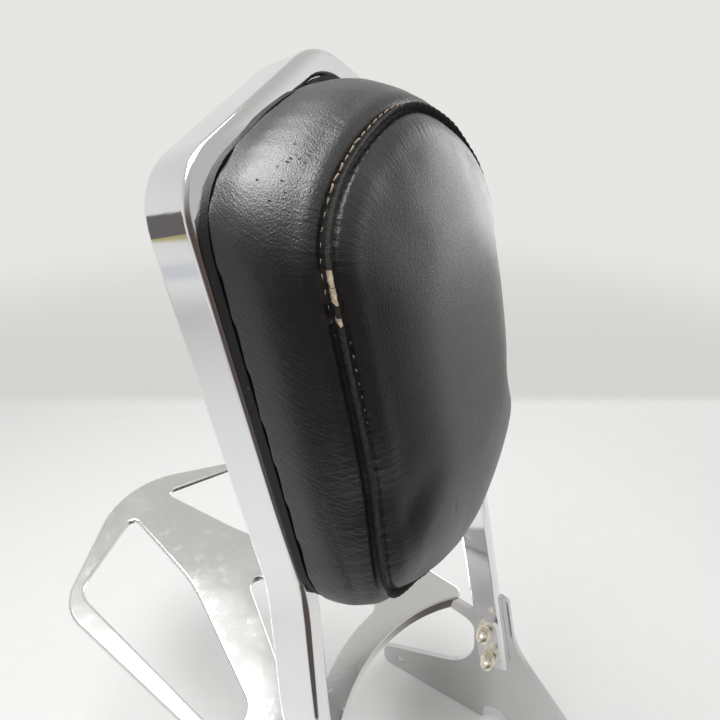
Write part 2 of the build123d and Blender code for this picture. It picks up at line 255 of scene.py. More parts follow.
# %% Chrome finishes
bar_width = 12.7 * MM
top_centre = 107.65 * MM
shoulder_rise = 517.5 * MM
peak_rise = 49.0 * MM
roll_over = 0.52
roll_start = 0.35
slope_fade = (-32 * MM, -6 * MM)
shoulder_roll = 0.55
shoulder_low = (475 * MM, 495 * MM)
shoulder_high = (528 * MM, 542 * MM)
shoulder_fade = (-1.6, -0.6)
front_facing = (0.9, 0.98)
flange_facing = (0.55, 0.75)
flange_roll = 0.8
deck_up = (0.0, -0.2, 0.98)


def turned_normal(net, normal, direction, tilt):
    return net.unit(net.vectors("ADD", normal, net.scaled(direction, tilt)))


def rolled_top(net, place):
    slope_length = math.hypot(top_centre, peak_rise)
    normal = net.node("ShaderNodeNewGeometry", output="Normal")
    facing = net.dot(normal, tuple(forward)).between(*front_facing)
    rise = net.dot(net.vectors("SUBTRACT", place, tuple(hoop_start)), tuple(up_hoop))
    across = net.part(place, "X")
    away = across.larger(0.0 - across)
    off_leg = away - top_centre
    below_peak = rise - shoulder_rise - peak_rise
    off_slope = (away * peak_rise + below_peak * top_centre) / slope_length
    on_slope = (off_slope - off_leg).between(*slope_fade)
    off_share = off_slope.larger(off_leg) * (2 / bar_width)
    at_shoulder = rise.between(*shoulder_low) * (1 - rise.between(*shoulder_high))
    tilt = (off_share + roll_start).larger(0.0) * roll_over
    shoulder_tilt = off_share.between(*shoulder_fade) * shoulder_roll * at_shoulder
    tilt = tilt.larger(shoulder_tilt) * on_slope * facing
    side = across.between(-2 * MM, 2 * MM) * 2.0 - 1.0
    climb = top_centre / slope_length
    outward = net.node("ShaderNodeCombineXYZ", inputs={
        "X": side * (peak_rise / slope_length), "Y": climb * up_hoop[1], "Z": climb * up_hoop[2],
    })
    return turned_normal(net, normal, outward, tilt)


def rolled_flange(net, place):
    normal = net.node("ShaderNodeNewGeometry", output="Normal")
    facing = net.dot(normal, (0.0, -1.0, 0.0)).between(*flange_facing)
    return turned_normal(net, normal, deck_up, facing * flange_roll)


def chrome_finish(name, tint, gloss, haze_gloss, wave_height, pit_share, rolled=None):
    material, net, place = new_finish(name)
    haze = net.clouds(place, 9.0, 5.0, 0.6).between(0.42, 0.72)
    wiping = net.clouds(net.mapped(place, (0.3, 0.2, 0.5), (40, 40, 6)), 3.0, 4.0).between(0.5, 0.8)
    dots = net.cells(place, 120.0)
    chosen = net.clouds(place, 37.0, 1.0).between(0.62, 0.66)
    pits = (1 - dots.between(0.03, 0.06)) * chosen * pit_share
    tired = tuple(channel * shade for channel, shade in zip(tint, (0.86, 0.85, 0.83)))
    colour = net.blend(haze * 0.35, tint, tired)
    colour = net.blend(pits, colour, (0.10, 0.09, 0.08))
    roughness = gloss + haze * haze_gloss + wiping * (haze_gloss * 0.6) + pits * 0.4
    below = rolled(net, place) if rolled else None
    waves = net.bump(net.clouds(place, 16.0, 2.0), wave_height, below)
    normal = net.bump(1 - pits, 0.15 * MM, waves)
    close_finish(material, net, {
        "Base Color": colour, "Roughness": roughness, "Metallic": 1.0, "Normal": normal,
    })
    return material


bar_chrome = chrome_finish("bar_chrome", (0.83, 0.83, 0.84), 0.05, 0.05, 0.06 * MM, 0.5, rolled_top)
rack_chrome = chrome_finish("rack_chrome", (0.80, 0.80, 0.795), 0.19, 0.10, 0.20 * MM, 0.7, rolled_flange)
# The side plates' chrome is tinted darker than the rack's: painted shade that dims the bright table they
# mirror.
plate_chrome_shaded = chrome_finish("plate_chrome_shaded", (0.65, 0.65, 0.65), 0.14, 0.10, 0.20 * MM, 0.7)
# The bolts and cap nuts are tinted warm beige, a painted reflection of the warm light their domes mirror.
bolt_chrome = chrome_finish("bolt_chrome", (0.86, 0.80, 0.68), 0.30, 0.10, 0.05 * MM, 0.3)

# %% [markdown]
# The pan behind the cushion is moulded in black plastic with a fine grain, and dust shows on it as pale
# specks. The straps behind it are steel under black paint, the screws plain steel and their inserts brass.

# %% Plastic, paint, steel and brass
pan_plastic, net, place = new_finish("pan_plastic")
grain = net.cells(place, 1400.0)
dots = net.cells(place, 230.0)
dusty = net.clouds(place, 60.0, 2.0).between(0.5, 0.7)
dust = (1 - dots.between(0.05, 0.14)) * dusty
patchy = net.clouds(place, 30.0, 3.0)
colour = net.blend(patchy, (0.002, 0.002, 0.0025), (0.006, 0.006, 0.007))
colour = net.blend(dust * 0.7, colour, (0.30, 0.29, 0.27))
close_finish(pan_plastic, net, {
    "Base Color": colour,
    "Specular IOR Level": 0.25,
    "Roughness": 0.48 + patchy * 0.2 + dust * 0.3,
    "Normal": net.bump(grain, 0.08 * MM),
})

strap_paint, net, place = new_finish("strap_paint")
peel = net.clouds(place, 420.0, 2.0)
chips = net.clouds(place, 75.0, 4.0, 0.7).between(0.68, 0.71)
colour = net.blend(chips, (0.018, 0.018, 0.018), (0.16, 0.13, 0.11))
close_finish(strap_paint, net, {
    "Base Color": colour,
    "Roughness": 0.32 + chips * 0.4 + peel * 0.1,
    "Normal": net.bump(peel - chips * 0.6, 0.12 * MM),
})


def turned_metal(name, tint, tarnish):
    material, net, place = new_finish(name)
    stains = net.clouds(place, 140.0, 4.0, 0.6)
    rings = net.clouds(net.mapped(place, (0, 0, 0), (1, 30, 30)), 60.0, 2.0)
    close_finish(material, net, {
        "Base Color": net.blend(stains.between(0.4, 0.8), tint, tarnish),
        "Roughness": 0.24 + stains * 0.25,
        "Metallic": 1.0,
        "Normal": net.bump(rings, 0.04 * MM),
    })
    return material


screw_steel = turned_metal("screw_steel", (0.52, 0.52, 0.53), (0.30, 0.27, 0.24))
insert_brass = turned_metal("insert_brass", (0.70, 0.52, 0.24), (0.42, 0.28, 0.12))

# %% [markdown]
# Each CAD node keeps its mesh and only gets the finish of what it is made of. The names say which is which,
# so a short list of name beginnings is enough, and the cushion is left out because a softer one replaces
# it.

# %% Dress the metal
finish_of = {
    "hoop_bar": bar_chrome,
    "luggage_rack": rack_chrome,
    "side_plate": plate_chrome_shaded,
    "clamp": bolt_chrome,
    "cap_nut": bolt_chrome,
    "pad_strap": strap_paint,
    "pad_pan": pan_plastic,
    "pad_screw": screw_steel,
    "pad_washer": screw_steel,
    "pad_insert": insert_brass,
}
dressed = 0
for name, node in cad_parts.items():
    for beginning, material in finish_of.items():
        if name.startswith(beginning):
            node.data.materials.clear()
            node.data.materials.append(material)
            dressed += 1
print("Dressed", dressed, "of", len(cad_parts), "CAD nodes")

# %% [markdown]
# The pad's cover is two panels of black leather: a front panel and a band round its sides, sewn together on
# a rounded edge. The shape follows a rule, so it is worked out from two outlines. The back one is the solid
# cushion's own, read from the CAD mesh, and the seam's is two superellipse ends joined by sides that spread
# a little towards the bottom.

# %% Find the two outlines of the pad
pad_centre = 405 * MM
back_slack = 0.5 * MM
ray_count = 360
turns = np.linspace(-np.pi / 2, 1.5 * np.pi, ray_count + 1)[:-1]
rays = np.stack([np.cos(turns), np.sin(turns)], axis=-1)


def mesh_points(mesh):
    points = np.zeros(len(mesh.vertices) * 3)
    mesh.vertices.foreach_get("co", points)
    return points.reshape(-1, 3)


solid_x, solid_rise, solid_depth = along_hoop(mesh_points(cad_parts["pad_cushion"].data))
pan_front = solid_depth.min()
at_back = solid_depth < pan_front + back_slack
back_flat = [Vector((x, rise - pad_centre)) for x, rise in zip(solid_x[at_back], solid_rise[at_back])]
back_hull = np.array([back_flat[index] for index in convex_hull_2d(back_flat)])


def hull_reach(hull):
    edges = np.roll(hull, -1, axis=0) - hull
    normals = np.stack([edges[:, 1], -edges[:, 0]], axis=-1)
    offsets = np.sum(normals * hull, axis=-1)
    normals = normals * np.sign(offsets)[:, None]
    facing = rays @ normals.T
    reach = np.where(facing > 1e-9, np.abs(offsets) / np.maximum(facing, 1e-9), np.inf)
    return reach.min(axis=1)


seam_half = 98.5 * MM
seam_spread = 0.14
seam_top = 535.5 * MM
seam_bottom = 263 * MM
seam_shoulder = 473 * MM
seam_hip = 310 * MM
top_squareness = 1.76
bottom_squareness = 1.46


def seam_reach():
    quarter = np.linspace(0, np.pi / 2, 300)
    low_x = seam_half * np.cos(quarter[::-1]) ** (2 / bottom_squareness)
    low_rise = seam_hip - (seam_hip - seam_bottom) * np.sin(quarter[::-1]) ** (2 / bottom_squareness)
    side_rise = np.linspace(seam_hip, seam_shoulder, 100)
    high_x = seam_half * np.cos(quarter) ** (2 / top_squareness)
    high_rise = seam_shoulder + (seam_top - seam_shoulder) * np.sin(quarter) ** (2 / top_squareness)
    x = np.concatenate([low_x, np.full_like(side_rise, seam_half), high_x])
    rise = np.concatenate([low_rise, side_rise, high_rise]) - pad_centre
    x = x * (1 - seam_spread * rise)
    angle = np.arctan2(rise, x)
    order = np.argsort(angle)
    folded = np.arctan2(np.sin(turns), np.abs(np.cos(turns)))
    return np.interp(folded, angle[order], np.hypot(x, rise)[order])


back_edge = hull_reach(back_hull)
seam_edge = seam_reach()
print("The back reaches", round(back_edge.max() / MM), "mm from the middle")
print("The seam reaches", round(seam_edge.max() / MM), "mm from the middle")

# %% [markdown]
# The starting form is a closed skin of rings: a flat back on the pan, a bulging side band up to the seam,
# and a crowned front. Under the pad the seam lies further back, because the front panel is drawn round the
# lower edge. The form starts a little smaller than the real pad, because the cloth simulation that follows
# makes it swell.

# %% Build the starting form of the pad
seat_gap = 0.2 * MM
back_overhang = 0.5 * MM
seam_depth = 44.6 * MM
seam_dip = 15.0 * MM
crown_depth = 57.0 * MM
crown_power = 6.5
band_bulge = 6.0 * MM
back_shares = (0.25, 0.6, 0.9)
band_steps = 12
front_steps = 14

rings = []
back_depth = pan_front + seat_gap
seam_level = seam_depth - seam_dip * np.maximum(0, -rays[:, 1]) ** 2


def band_reach(share, back, seam):
    bulge = band_bulge * (1 - (1 - share) ** 4) * (1 - share) ** 0.5
    return (back + back_overhang) * (1 - share) + seam * share + bulge


for share in back_shares:
    rings.append((back_edge * share, np.full_like(turns, back_depth)))
for step in range(band_steps + 1):
    share = step / band_steps
    depth = back_depth + (seam_level - back_depth) * share
    rings.append((band_reach(share, back_edge, seam_edge), depth))
for step in range(1, front_steps):
    share = 1 - step / front_steps
    depth = seam_level + (crown_depth - seam_level) * (1 - share ** crown_power)
    rings.append((seam_edge * share, depth))

skin = bmesh.new()
loops = []
for reach, depth in rings:
    points = on_hoop(reach * rays[:, 0], pad_centre + reach * rays[:, 1], depth)
    loops.append([skin.verts.new(point) for point in points])
back_middle = skin.verts.new(on_hoop(0.0, pad_centre, back_depth))
front_middle = skin.verts.new(on_hoop(0.0, pad_centre, crown_depth))
count = len(turns)
for index in range(count):
    after = (index + 1) % count
    for first, second in zip(loops, loops[1:]):
        skin.faces.new((first[index], first[after], second[after], second[index]))
    skin.faces.new((back_middle, loops[0][after], loops[0][index]))
    skin.faces.new((front_middle, loops[-1][index], loops[-1][after]))
bmesh.ops.recalc_face_normals(skin, faces=skin.faces)
cushion_mesh = bpy.data.meshes.new("leather_cushion")
skin.to_mesh(cushion_mesh)
skin.free()
cushion = placed("leather_cushion", cushion_mesh)
print("Starting form:", len(cushion_mesh.vertices), "vertices")

# %% [markdown]
# Leather over foam is pushed out evenly from inside, and that is what the Cloth simulation's pressure does.
# The mesh is first remeshed into even voxels, so that the cloth has no long faces. Gravity is off, the back
# that rests on the pan is held, and no point may move further than a cap, which keeps the pad's own form.

# %% Swell the pad
def baked(piece):
    depsgraph = bpy.context.evaluated_depsgraph_get()
    mesh = bpy.data.meshes.new_from_object(piece.evaluated_get(depsgraph), depsgraph=depsgraph)
    piece.modifiers.clear()
    piece.data = mesh
    return mesh


voxel = 5.0 * MM
swell_pressure = 4.0
swell_frames = 20
swell_cap = 5.0 * MM
held_depth = 3.0 * MM

remesh = cushion.modifiers.new("even_voxels", "REMESH")
remesh.mode = "VOXEL"
remesh.voxel_size = voxel
baked(cushion)
start = mesh_points(cushion.data)
held = cushion.vertex_groups.new(name="held")
start_depth = along_hoop(start)[2]
held.add([int(i) for i in np.flatnonzero(start_depth < back_depth + held_depth)], 1.0, "REPLACE")
cloth = cushion.modifiers.new("swell", "CLOTH")
cloth.settings.use_pressure = True
cloth.settings.uniform_pressure_force = swell_pressure
cloth.settings.effector_weights.gravity = 0.0
cloth.settings.vertex_group_mass = "held"
cloth.point_cache.frame_end = swell_frames
for tick in range(1, swell_frames + 1):
    scene.frame_set(tick)
baked(cushion)
scene.frame_set(1)
moved = mesh_points(cushion.data) - start
length = np.linalg.norm(moved, axis=1)
moved = moved * np.minimum(1.0, swell_cap / np.maximum(length, 1e-9))[:, None]
cushion.data.vertices.foreach_set("co", (start + moved).ravel())
cushion.vertex_groups.clear()
print("The cloth moved", round(length.max() / MM, 1), "mm at most, capped at", round(swell_cap / MM, 1))

# %% [markdown]
# The voxels leave faint steps, so the skin is relaxed a few times and then divided twice. Relaxing draws in
# the edge that is tacked to the pan, so that edge is moved out again to its own outline and settled flat on
# the pan. Everything finer, such as the bed of the seam, is pressed into this denser skin.

# %% Smooth and divide the skin
relax_steps = 8
tacked_depth = 14.0 * MM
rim_share = 0.9
rim_blend = 0.05
settle_start = 3 * MM
settle_span = 6 * MM
settle_least = 0.12

relaxed = bmesh.new()
relaxed.from_mesh(cushion.data)
all_axes = {"use_axis_x": True, "use_axis_y": True, "use_axis_z": True}
for step in range(relax_steps):
    bmesh.ops.smooth_vert(relaxed, verts=relaxed.verts, factor=0.5, **all_axes)
relaxed.to_mesh(cushion.data)
relaxed.free()
skin_x, skin_rise, skin_depth = along_hoop(mesh_points(cushion.data))
reach = np.hypot(skin_x, skin_rise - pad_centre)
turn = np.arctan2(skin_rise - pad_centre, skin_x)
back_here, seam_here, level_here = (
    np.interp(turn, turns, edge, period=2 * np.pi) for edge in (back_edge, seam_edge, seam_level)
)
proud = skin_depth - back_depth
share = np.clip(proud / (level_here - back_depth), 0, 1)
wanted = band_reach(share, back_here, seam_here)
tacked = np.clip(1 - proud / tacked_depth, 0, 1)
tacked = tacked * np.clip((reach / wanted - rim_share) / rim_blend, 0, 1)
stretch = 1 + tacked * (wanted / np.maximum(reach, MM) - 1)
settle = np.clip((proud - settle_start) / settle_span, settle_least, 1)
settle = np.where(reach > rim_share * wanted, settle, 1)
settled_depth = back_depth + proud * settle
tacked_out = on_hoop(skin_x * stretch, pad_centre + (skin_rise - pad_centre) * stretch, settled_depth)
cushion.data.vertices.foreach_set("co", tacked_out.ravel())
cushion.data.update()
divide = cushion.modifiers.new("divide", "SUBSURF")
divide.levels = 2
divide.render_levels = 2
baked(cushion)
print("Divided skin:", len(cushion.data.polygons), "faces")

# %% [markdown]
# The seam runs round the front panel on the pad's rounded edge. To find it on the swollen skin, a ray is
# sent from inside the pad towards each point of the seam's outline, and where it leaves the skin is a point
# of the seam. Each point also keeps three directions: along the seam, out of the leather and in towards the
# middle.

# %% Trace the seam on the swollen skin
def smooth_loop(values, width):
    total = np.zeros_like(values)
    for shift in range(-width, width + 1):
        total += np.roll(values, shift, axis=0)
    return total / (2 * width + 1)


def unit(vectors):
    return vectors / np.linalg.norm(vectors, axis=-1, keepdims=True)


def even_loop(points, spacing):
    closed = np.vstack([points, points[:1]])
    run = np.concatenate([[0], np.cumsum(np.linalg.norm(np.diff(closed, axis=0), axis=1))])
    steps = int(round(run[-1] / spacing))
    wanted = np.linspace(0, run[-1], steps, endpoint=False)
    return np.stack([np.interp(wanted, run, closed[:, axis]) for axis in range(3)], axis=-1)


def skin_finder(mesh):
    return BVHTree.FromPolygons(
        [vertex.co for vertex in mesh.vertices], [face.vertices for face in mesh.polygons]
    )


inner_share = 0.55
inner_depth = 20 * MM
seam_spacing = 1.0 * MM
line_smoothing = 3
normal_smoothing = 6
skin_tree = skin_finder(cushion.data)
inner = inner_share * seam_edge
inside = on_hoop(inner * rays[:, 0], pad_centre + inner * rays[:, 1], inner_depth)
beyond = on_hoop(seam_edge * rays[:, 0], pad_centre + seam_edge * rays[:, 1], seam_level)
hits = []
for origin, target in zip(inside, beyond):
    hits.append(skin_tree.ray_cast(Vector(origin), Vector(target - origin))[0])
seam_line = even_loop(smooth_loop(np.array(hits), line_smoothing), seam_spacing)
seam_length = seam_spacing * len(seam_line)
seam_along = unit(np.roll(seam_line, -2, axis=0) - np.roll(seam_line, 2, axis=0))
seam_out = np.array([skin_tree.find_nearest(Vector(point))[1] for point in seam_line])
seam_out = smooth_loop(seam_out, normal_smoothing)
seam_out = unit(seam_out - seam_along * np.sum(seam_out * seam_along, axis=1)[:, None])
seam_inward = np.cross(seam_out, seam_along)
towards_middle = on_hoop(0.0, pad_centre, seam_depth) - seam_line
seam_inward = seam_inward * np.sign(np.sum(seam_inward * towards_middle))
print("The seam is", round(seam_length / MM), "mm long")

# %% [markdown]
# Where the two panels are sewn, the thread pulls the leather down into a shallow bed for the lap, and the
# foam stands up a little on both sides. Beside the front edge of the bed the front panel is gathered, so it
# puckers once at each stitch. Every vertex looks up its nearest seam point and moves along its own normal
# by what that distance says.

# %% Press the seam into the leather
stitch_pitch = 6.2 * MM
lap_width = 6.2 * MM
bed_depth = 1.3 * MM
bed_slope = 1.5 * MM
roll_height = 0.6 * MM
rolls = ((-6 * MM, 4 * MM), (14 * MM, 5 * MM))
pucker_share = 0.15
lap_narrow = 0.78
lap_whole = 0.608
lap_tight = 0.655
lap_share = np.interp(seam_line[:, 2], (lap_whole, lap_tight), (1.0, lap_narrow))

finder = KDTree(len(seam_line))
for index, point in enumerate(seam_line):
    finder.insert(Vector(point), index)
finder.balance()


def beside_seam(points):
    nearest = np.array([finder.find(Vector(point))[1] for point in points])
    offset = points - seam_line[nearest]
    return nearest, np.linalg.norm(offset, axis=1), np.sum(offset * seam_inward[nearest], axis=1)


skin_points = mesh_points(cushion.data)
nearest, away, inward = beside_seam(skin_points)
inward = np.where(np.abs(inward) < away, np.sign(inward) * away, inward)
seam_run = nearest * seam_spacing
pucker = pucker_share * bed_slope * np.sin(2 * np.pi * seam_run / stitch_pitch)
into_bed = np.clip((inward + bed_slope) / bed_slope, 0, 1)
bed_edge = lap_width * lap_share[nearest] + pucker
out_of_bed = np.clip((bed_edge + bed_slope - inward) / bed_slope, 0, 1)
press = -bed_depth * np.sin(into_bed * np.pi / 2) * np.sin(out_of_bed * np.pi / 2)
for middle, half_width in rolls:
    press += roll_height * np.exp(-((inward - middle) / half_width) ** 2)
skin_normals = np.zeros(len(skin_points) * 3)
cushion.data.vertices.foreach_get("normal", skin_normals)
skin_points = skin_points + skin_normals.reshape(-1, 3) * press[:, None]
cushion.data.vertices.foreach_set("co", skin_points.ravel())
cushion.data.update()
print("Pressed the seam by up to", round(-press.min() / MM, 2), "mm")

# %% [markdown]
# The leather is worn in certain places only: a cluster of small pits near the top corner, a scuffed streak
# low on the side band, a few creases. Each place is found by looking through the camera at the finished
# skin, and is kept as a soft mask in an attribute of the mesh, which the leather's finish then reads.

# %% Mark the worn places
worn_tree = skin_finder(cushion.data)


def spot(pixel):
    hit = worn_tree.ray_cast(camera.location, through_pixel(*pixel))[0]
    return np.array(hit)


def near_spot(points, pixel, radius):
    distance = np.linalg.norm(points - spot(pixel), axis=1)
    return np.exp(-(distance / radius) ** 2)


def near_line(points, ends, radius):
    begin, end = (spot(pixel) for pixel in ends)
    line = end - begin
    share = np.clip((points - begin) @ line / (line @ line), 0, 1)
    distance = np.linalg.norm(points - begin - share[:, None] * line, axis=1)
    return np.exp(-(distance / radius) ** 2)


def keep(mesh, name, values):
    attribute = mesh.attributes.new(name, "FLOAT", "POINT")
    attribute.data.foreach_set("value", np.asarray(values, dtype=np.float32))


side_blend = 2 * MM
pit_pixel, pit_radius = (270, 190), 8 * MM
few_pits_pixel, few_pits_radius, few_pits_share = (298, 156), 9 * MM, 0.75
scuff_pixels, scuff_radius = ((322, 505), (350, 588)), 2.2 * MM
long_crease_pixels, long_crease_radius = ((478, 418), (500, 408)), 2.2 * MM
short_crease_pixels, short_crease_radius, short_crease_share = ((455, 505), (455, 513)), 1.6 * MM, 0.7

side_band = 1 / (1 + np.exp(inward / side_blend))
_, skin_rise, skin_depth = along_hoop(skin_points)
pitted = near_spot(skin_points, pit_pixel, pit_radius)
pitted += few_pits_share * near_spot(skin_points, few_pits_pixel, few_pits_radius)
scuffed = near_line(skin_points, scuff_pixels, scuff_radius)
creased = near_line(skin_points, long_crease_pixels, long_crease_radius)
creased += short_crease_share * near_line(skin_points, short_crease_pixels, short_crease_radius)
marks = {
    "side_band": side_band,
    "seam_inward": inward,
    "seam_run": seam_run,
    "slant_along": (skin_depth - skin_rise) / math.sqrt(2),
    "slant_across": (skin_depth + skin_rise) / math.sqrt(2),
    "pitted": pitted,
    "scuffed": scuffed,
    "creased": creased,
}
for name, values in marks.items():
    keep(cushion.data, name, values)
print("The skin keeps", ", ".join(marks))

# %% [markdown]
# Black leather is nearly as dark as it can be, so almost all that the eye sees is its satin shine, broken
# up by the grain, small rounded cells under a millimetre across. On the side band the leather was stretched
# round the corner and shows fine slanting wrinkles, and beside the seam it is gathered into short wrinkles
# that run away from it.

# %% Leather finish
pad_leather, net, place = new_finish("pad_leather")
band, seam_side, run, slant_along, slant_across, pit_mask, scuff_mask, crease_mask = (
    net.attribute(name) for name in marks
)

grain_cells = net.cells(net.mapped(place, (0.4, 0.1, 0.2), (1.0, 1.0, 0.8)), 1500.0, "SMOOTH_F1")
fine_grain = net.clouds(place, 3600.0, 2.0)
slant_place = net.node("ShaderNodeCombineXYZ", inputs={
    "X": slant_across * 780.0, "Y": slant_along * 110.0,
})
slanting = net.clouds(slant_place, 1.0, 2.0, 0.55)
upright = net.clouds(net.mapped(place, (0.2, 0.0, 0.3), (700, 700, 150)), 1.0, 3.0, 0.6)
gather_place = net.node("ShaderNodeCombineXYZ", inputs={"X": run * 430.0, "Y": seam_side * 45.0})
gathers = net.clouds(gather_place, 1.0, 2.0)
near_seam = 1 - (seam_side - lap_width).larger(0.0 - seam_side).between(2 * MM, 26 * MM)
pit_cells = net.cells(net.mapped(place, (0.5, 0.0, 0.0), (1.0, 0.6, 1.0)), 380.0)
pits = (1 - pit_cells.between(0.12, 0.24)) * pit_mask.between(0.25, 0.7)
low_down = 1 - net.part(place, "Z").between(0.60, 0.65)
scuff_noise = net.clouds(place, 420.0, 4.0, 0.7)
scuffs = scuff_mask * scuff_noise.between(0.35, 0.6)

height = grain_cells * 0.40 + fine_grain * 0.25
height = height + slanting * band * (0.45 + low_down * 0.45) + upright * (1 - band) * 0.25
height = height + gathers * near_seam * 1.3 - pits * 2.4 - scuffs * 1.2 - crease_mask * 0.9
dullness = net.clouds(place, 55.0, 4.0, 0.6)
colour = net.blend(dullness, (0.0050, 0.0050, 0.0053), (0.0085, 0.0085, 0.0090))
colour = net.blend(scuffs * 0.5, colour, (0.004, 0.004, 0.004))
colour = net.blend(pits * 0.7, colour, (0.003, 0.003, 0.003))
close_finish(pad_leather, net, {
    "Base Color": colour,
    "Specular IOR Level": 0.75,
    "Roughness": 0.32 + dullness * 0.10 + scuffs * 0.3 + pits * 0.3,
    "Normal": net.bump(height, 0.28 * MM),
})
cushion.data.materials.clear()
cushion.data.materials.append(pad_leather)
cushion.data.shade_smooth()
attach(cushion, "root")
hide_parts("pad_cushion")

# %% [markdown]
# The edge of the side panel is folded over the front panel and sewn down, and that lap has lost its shine:
# it is brown-black and rough, and rubbed bare in three places. Thread holds it down along its outer edge.
# Both follow the seam, so Geometry Nodes make both. First come the two finishes that their trees need.

# %% Lap and thread finishes
worn_lap, net, place = new_finish("worn_lap")
fibre = net.clouds(place, 1000.0, 4.0, 0.7)
strands = net.cells(net.mapped(place, (0.5, 0.3, 0.2), (1.0, 1.0, 0.45)), 850.0)
blotches = net.clouds(place, 160.0, 3.0)
bare = (net.attribute("bare") + (fibre - 0.5) * 0.6).between(0.45, 0.60)
frayed = 1 - net.part(place, "Z").between(0.57, 0.64)
lint = fibre.between(0.50, 0.72) * (0.25 + frayed * 0.75)
colour = net.blend(blotches, (0.006, 0.0055, 0.005), (0.019, 0.016, 0.0135))
colour = net.blend(lint * 0.45, colour, (0.12, 0.112, 0.100))
colour = net.blend(bare, colour, (0.66, 0.53, 0.38))
close_finish(worn_lap, net, {
    "Base Color": colour,
    "Roughness": 0.62 + fibre * 0.3,
    "Normal": net.bump(fibre + strands * 0.5 + blotches * 0.5, 1.3 * MM),
})

seam_thread, net, place = new_finish("seam_thread")
soil = net.clouds(place, 130.0, 3.0, 0.6)
twist = net.clouds(net.mapped(place, (0.6, 0.3, 0.0), (1, 1, 3)), 1500.0, 2.0)
faded = 1 - net.part(place, "Z").between(0.54, 0.62)
dirty = (faded * 0.7 + soil.between(0.45, 0.75) * 0.5).between(0.0, 1.0)
clean_thread = net.blend(twist, (0.11, 0.085, 0.060), (0.29, 0.235, 0.17))
colour = net.blend(dirty, clean_thread, (0.060, 0.048, 0.038))
close_finish(seam_thread, net, {
    "Base Color": colour,
    "Roughness": 0.7 + twist * 0.2,
    "Normal": net.bump(twist, 0.2 * MM),
})

# %% [markdown]
# A Geometry Nodes tree takes its sizes as named inputs, and a seed where anything in it is random. Small
# helpers make the tree with its inputs, read and store an attribute, and end the tree. One more puts it on
# an object, sets each input by its identifier before the first evaluation, and turns the result into a
# plain mesh. The path it runs along is a mesh of edges alone, which carries the leather's directions as
# attributes.

# %% Start and run a Geometry Nodes tree
def new_tree(name, sizes, seeds=()):
    tree = bpy.data.node_groups.new(name, "GeometryNodeTree")
    inputs = [("Geometry", "Geometry")]
    inputs += [(size, "Float") for size in sizes]
    inputs += [(seed, "Int") for seed in seeds]
    for label, kind in inputs:
        tree.interface.new_socket(label, in_out="INPUT", socket_type="NodeSocket" + kind)
    tree.interface.new_socket("Geometry", in_out="OUTPUT", socket_type="NodeSocketGeometry")
    net = Net(tree)
    entry = net.node("NodeGroupInput", output="Geometry")
    return tree, net, entry


def named(net, name, kind="FLOAT"):
    return net.node("GeometryNodeInputNamedAttribute", {"data_type": kind}, {"Name": name})


def stored(net, geometry, name, value, kind="FLOAT"):
    return net.node("GeometryNodeStoreNamedAttribute", {"data_type": kind, "domain": "POINT"}, {
        "Geometry": geometry, "Name": name, "Value": value,
    })


def end_tree(net, geometry, material):
    whole = net.node("GeometryNodeRealizeInstances", inputs={"Geometry": geometry})
    painted = net.node("GeometryNodeSetMaterial", inputs={"Geometry": whole, "Material": material})
    net.node("NodeGroupOutput", inputs={"Geometry": painted})


def run_tree(tree, piece, values):
    modifier = piece.modifiers.new(tree.name, "NODES")
    modifier.node_group = tree
    for item in tree.interface.items_tree:
        if item.in_out == "INPUT" and item.name in values:
            modifier[item.identifier] = values[item.name]
    baked(piece)
    print(piece.name, "has", len(piece.data.polygons), "faces")


def path_piece(name, line, directions):
    mesh = bpy.data.meshes.new(name + "_path")
    count = len(line)
    mesh.from_pydata(line.tolist(), [(i, (i + 1) % count) for i in range(count)], [])
    for label, vectors in directions.items():
        attribute = mesh.attributes.new(label, "FLOAT_VECTOR", "POINT")
        attribute.data.foreach_set("vector", np.asarray(vectors, dtype=np.float32).ravel())
    return placed(name, mesh)


# %% [markdown]
# The lap is a thin flat profile swept along the middle of the bed. Its curve normals are the leather's own,
# so that it lies flat on the skin all the way round. Its front edge has a tooth at each stitch, because the
# front panel swells over it in between, it rises in a low hump between two stitches, and both edges are a
# little ragged. It is rolled tighter round the top, and under the pad and on its far side it is pulled in
# deeper. To move one edge alone, the tree keeps each point of the path, and a vertex's distance from it
# tells which edge it belongs to.

# %% Sweep the lap
lap_tree, net, entry = new_tree("seam_lap", ("Width", "Thickness", "Tooth", "Hump", "Pitch"))
outward = named(net, "outward", "FLOAT_VECTOR")
inwards = named(net, "inwards", "FLOAT_VECTOR")
here = net.node("GeometryNodeInputPosition")
curve = net.node("GeometryNodeMeshToCurve", inputs={"Mesh": entry})
curve = net.node("GeometryNodeSetCurveNormal", {"mode": "FREE"}, {"Curve": curve, "Normal": outward})
curve = stored(net, curve, "run", net.node("GeometryNodeSplineParameter", output="Length"))
curve = stored(net, curve, "axis", here, "FLOAT_VECTOR")
profile = net.node("GeometryNodeCurvePrimitiveQuadrilateral", inputs={
    "Width": entry.output("Width"), "Height": entry.output("Thickness"),
})
profile = net.node("GeometryNodeFilletCurve", {"mode": "POLY"}, {
    "Curve": profile, "Count": 3, "Radius": entry.output("Thickness") * 0.48, "Limit Radius": True,
})
swept = net.node("GeometryNodeCurveToMesh", inputs={"Curve": curve, "Profile Curve": profile})
from_axis = net.vectors("SUBTRACT", here, named(net, "axis", "FLOAT_VECTOR"))
side = net.dot(from_axis, inwards) / entry.output("Width") * 2.0
tooth = (named(net, "run") * math.pi / entry.output("Pitch")).sine()
tooth = (tooth * tooth) ** 3.0
ragged = net.clouds(here, 420.0, 2.0) - 0.5
shift = (side.larger(0.0) * (tooth - 0.4) + ragged) * entry.output("Tooth")
shift = shift + side * (named(net, "wide") - 1.0) * entry.output("Width") * 0.5
lift = (1 - tooth + ragged) * entry.output("Hump")
moved = net.vectors("ADD", net.scaled(inwards, shift), net.scaled(outward, lift))
swept = net.node("GeometryNodeSetPosition", inputs={"Geometry": swept, "Offset": moved})
end_tree(net, swept, worn_lap)

